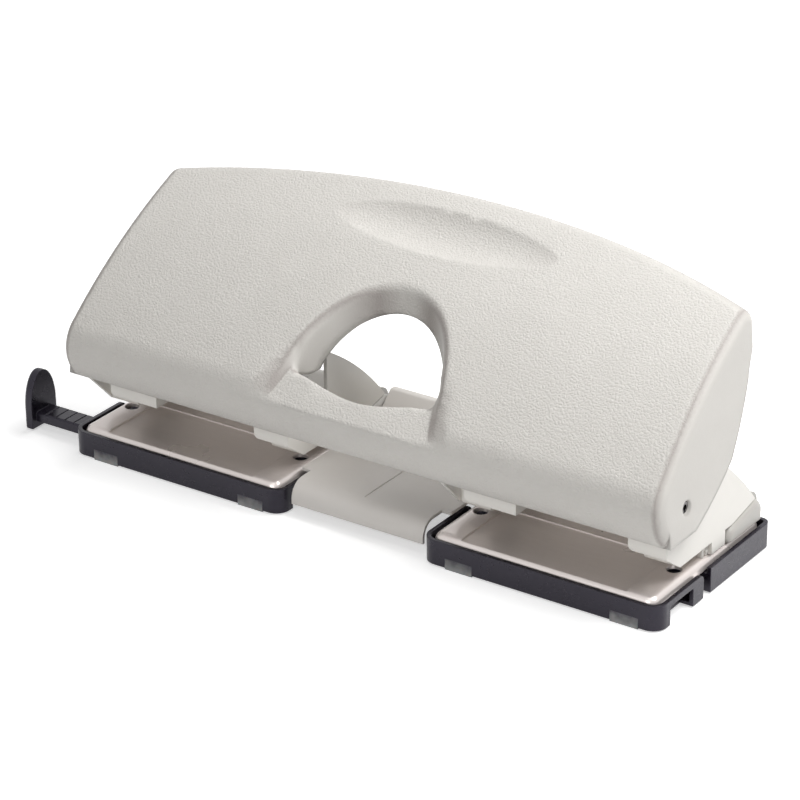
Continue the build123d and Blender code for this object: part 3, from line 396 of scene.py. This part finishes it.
def soft_lever():
    """Lever shell whose finger band runs out softly at its ends."""
    shape = bmesh.new()
    shape.from_mesh(nodes["lever_shell"].data)
    bmesh.ops.remove_doubles(shape, verts=shape.verts, dist=SAME_POINT)
    make_finer(shape)
    soften(shape)
    mesh = bpy.data.meshes.new("lever_skin")
    shape.to_mesh(mesh)
    shape.free()
    mesh.shade_smooth()
    mesh.set_sharp_from_angle(angle=radians(SHARP_ANGLE))
    mesh.materials.append(materials["lever_plastic"])
    skin = placed("lever_skin", mesh)
    flat = skin.modifiers.new("flat_faces", "WEIGHTED_NORMAL")
    flat.keep_sharp = True
    flat.weight = FLAT_WEIGHT
    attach(skin, "lever")
    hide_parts("lever_shell")


soft_lever()


# Springs


def wire_height(turn, height):
    """Height of the wire after so many turns, in a spring whose wire climbs to a full height."""
    closed_turns = min(turn, COIL_CLOSED) + max(turn - COIL_TURNS + COIL_CLOSED, 0.0)
    open_height = height - 2 * COIL_CLOSED * CLOSED_PITCH
    open_pitch = open_height / (COIL_TURNS - 2 * COIL_CLOSED)
    return closed_turns * CLOSED_PITCH + (turn - closed_turns) * open_pitch


def wound_wire(low, high):
    """Points and faces of a wire that is wound into a spring between two corners."""
    middle = (low + high) / 2
    radius = (high.x - low.x) / 2 - WIRE_R
    rings = int(COIL_TURNS * COIL_STEPS) + 1
    points = []
    for ring in range(rings):
        turn = ring / COIL_STEPS
        angle = 2 * pi * turn
        level = low.z + WIRE_R + wire_height(turn, high.z - low.z - 2 * WIRE_R)
        for side in range(COIL_SIDES):
            around = 2 * pi * side / COIL_SIDES
            reach = radius + WIRE_R * cos(around)
            x = middle.x + reach * cos(angle)
            y = middle.y + reach * sin(angle)
            points.append((x, y, level + WIRE_R * sin(around)))
    faces = []
    for ring in range(rings - 1):
        for side in range(COIL_SIDES):
            first = ring * COIL_SIDES + side
            second = ring * COIL_SIDES + (side + 1) % COIL_SIDES
            faces.append((first, second, second + COIL_SIDES, first + COIL_SIDES))
    faces.append(tuple(reversed(range(COIL_SIDES))))
    faces.append(tuple(range((rings - 1) * COIL_SIDES, rings * COIL_SIDES)))
    return points, faces


def return_spring(number):
    """Compression spring with closed ends, wound to fill its node's box."""
    node = f"return_spring_{number}"
    low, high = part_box(node)
    points, faces = wound_wire(low, high)
    mesh = bpy.data.meshes.new(f"coil_{number}")
    mesh.from_pydata(points, [], faces)
    mesh.shade_smooth()
    mesh.materials.append(materials["spring_steel"])
    coil = placed(f"coil_{number}", mesh)
    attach(coil, "base")
    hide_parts(node)
    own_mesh(coil)


for number in PUNCH_NUMBERS:
    return_spring(number)


# Studio


def softbox(name, place, size, power):
    """Large soft lamp that faces the object."""
    lamp = bpy.data.lights.new(name, "AREA")
    lamp.shape = "RECTANGLE"
    lamp.size, lamp.size_y = size
    lamp.energy = power
    obj = placed(name, lamp)
    obj.location = place
    obj.rotation_euler = (VIEW_TARGET - Vector(place)).to_track_quat("-Z", "Y").to_euler()


def studio_rays(tree):
    """One for camera, glossy and transmission rays, none for the rays that light the object."""
    path = add(tree, "LightPath")
    total = path.outputs["Is Camera Ray"]
    for kind in ("Is Glossy Ray", "Is Transmission Ray"):
        node = add(tree, "Math", operation="ADD", use_clamp=True)
        tree.links.new(total, node.inputs[0])
        tree.links.new(path.outputs[kind], node.inputs[1])
        total = node.outputs["Value"]
    return total


def white_world():
    """White background, with a plain ambient light on the object."""
    world = bpy.data.worlds.new("studio")
    bpy.context.scene.world = world
    world.use_nodes = True
    tree = world.node_tree
    tree.nodes.clear()
    light = add(tree, "Background", {"Color": WHITE, "Strength": AMBIENT})
    shown = add(tree, "Background", {"Color": WHITE, "Strength": 1.0})
    mix = add(tree, "MixShader")
    out = add(tree, "OutputWorld")
    tree.links.new(studio_rays(tree), mix.inputs["Fac"])
    tree.links.new(light.outputs[0], mix.inputs[1])
    tree.links.new(shown.outputs[0], mix.inputs[2])
    tree.links.new(mix.outputs[0], out.inputs["Surface"])


def pale_floor():
    """Pale floor that keeps the object's shadow and shows as white elsewhere, also far from the lamps."""
    corners = [(x * FLOOR_HALF, y * FLOOR_HALF, 0) for x, y in ((-1, -1), (1, -1), (1, 1), (-1, 1))]
    mesh = bpy.data.meshes.new("floor")
    mesh.from_pydata(corners, [], [(0, 1, 2, 3)])
    floor = placed("floor", mesh)
    finish = Finish("floor", Base_Color=(FLOOR_SHADE, FLOOR_SHADE, FLOOR_SHADE, 1),
                    Roughness=FLOOR_ROUGHNESS, Specular_IOR_Level=0.0, Emission_Color=WHITE)
    reach = add(finish.tree, "VectorMath", operation="LENGTH")
    finish.link(finish.coords, reach.inputs[0])
    glow = finish.spread(reach.outputs["Value"], FLOOR_GLOW_NEAR, FLOOR_GLOW_FAR, to_low=FLOOR_GLOW)
    strength = finish.combine("MULTIPLY", studio_rays(finish.tree), glow)
    finish.link(strength, finish.shader.inputs["Emission Strength"])
    mesh.materials.append(finish.material)


def camera():
    """Camera at the photograph's place."""
    azimuth = radians(VIEW_AZIMUTH)
    elevation = radians(VIEW_ELEVATION)
    roll = radians(VIEW_ROLL)
    back = Vector((sin(azimuth) * cos(elevation), -cos(azimuth) * cos(elevation), sin(elevation)))
    level = Vector((cos(azimuth), sin(azimuth), 0))
    upright = back.cross(level)
    right = cos(roll) * level + sin(roll) * upright
    up = -sin(roll) * level + cos(roll) * upright
    data = bpy.data.cameras.new("camera")
    data.sensor_fit = "HORIZONTAL"
    data.sensor_width = SENSOR
    data.lens = LENS
    obj = placed("camera", data)
    axes = Matrix((right, up, back)).transposed().to_4x4()
    obj.matrix_world = Matrix.Translation(VIEW_TARGET + VIEW_DISTANCE * back) @ axes
    bpy.context.scene.camera = obj


white_world()
pale_floor()
for name, (place, size, power) in SOFTBOXES.items():
    softbox(name, place, size, power)
camera()
bpy.context.scene.view_settings.view_transform = "Standard"
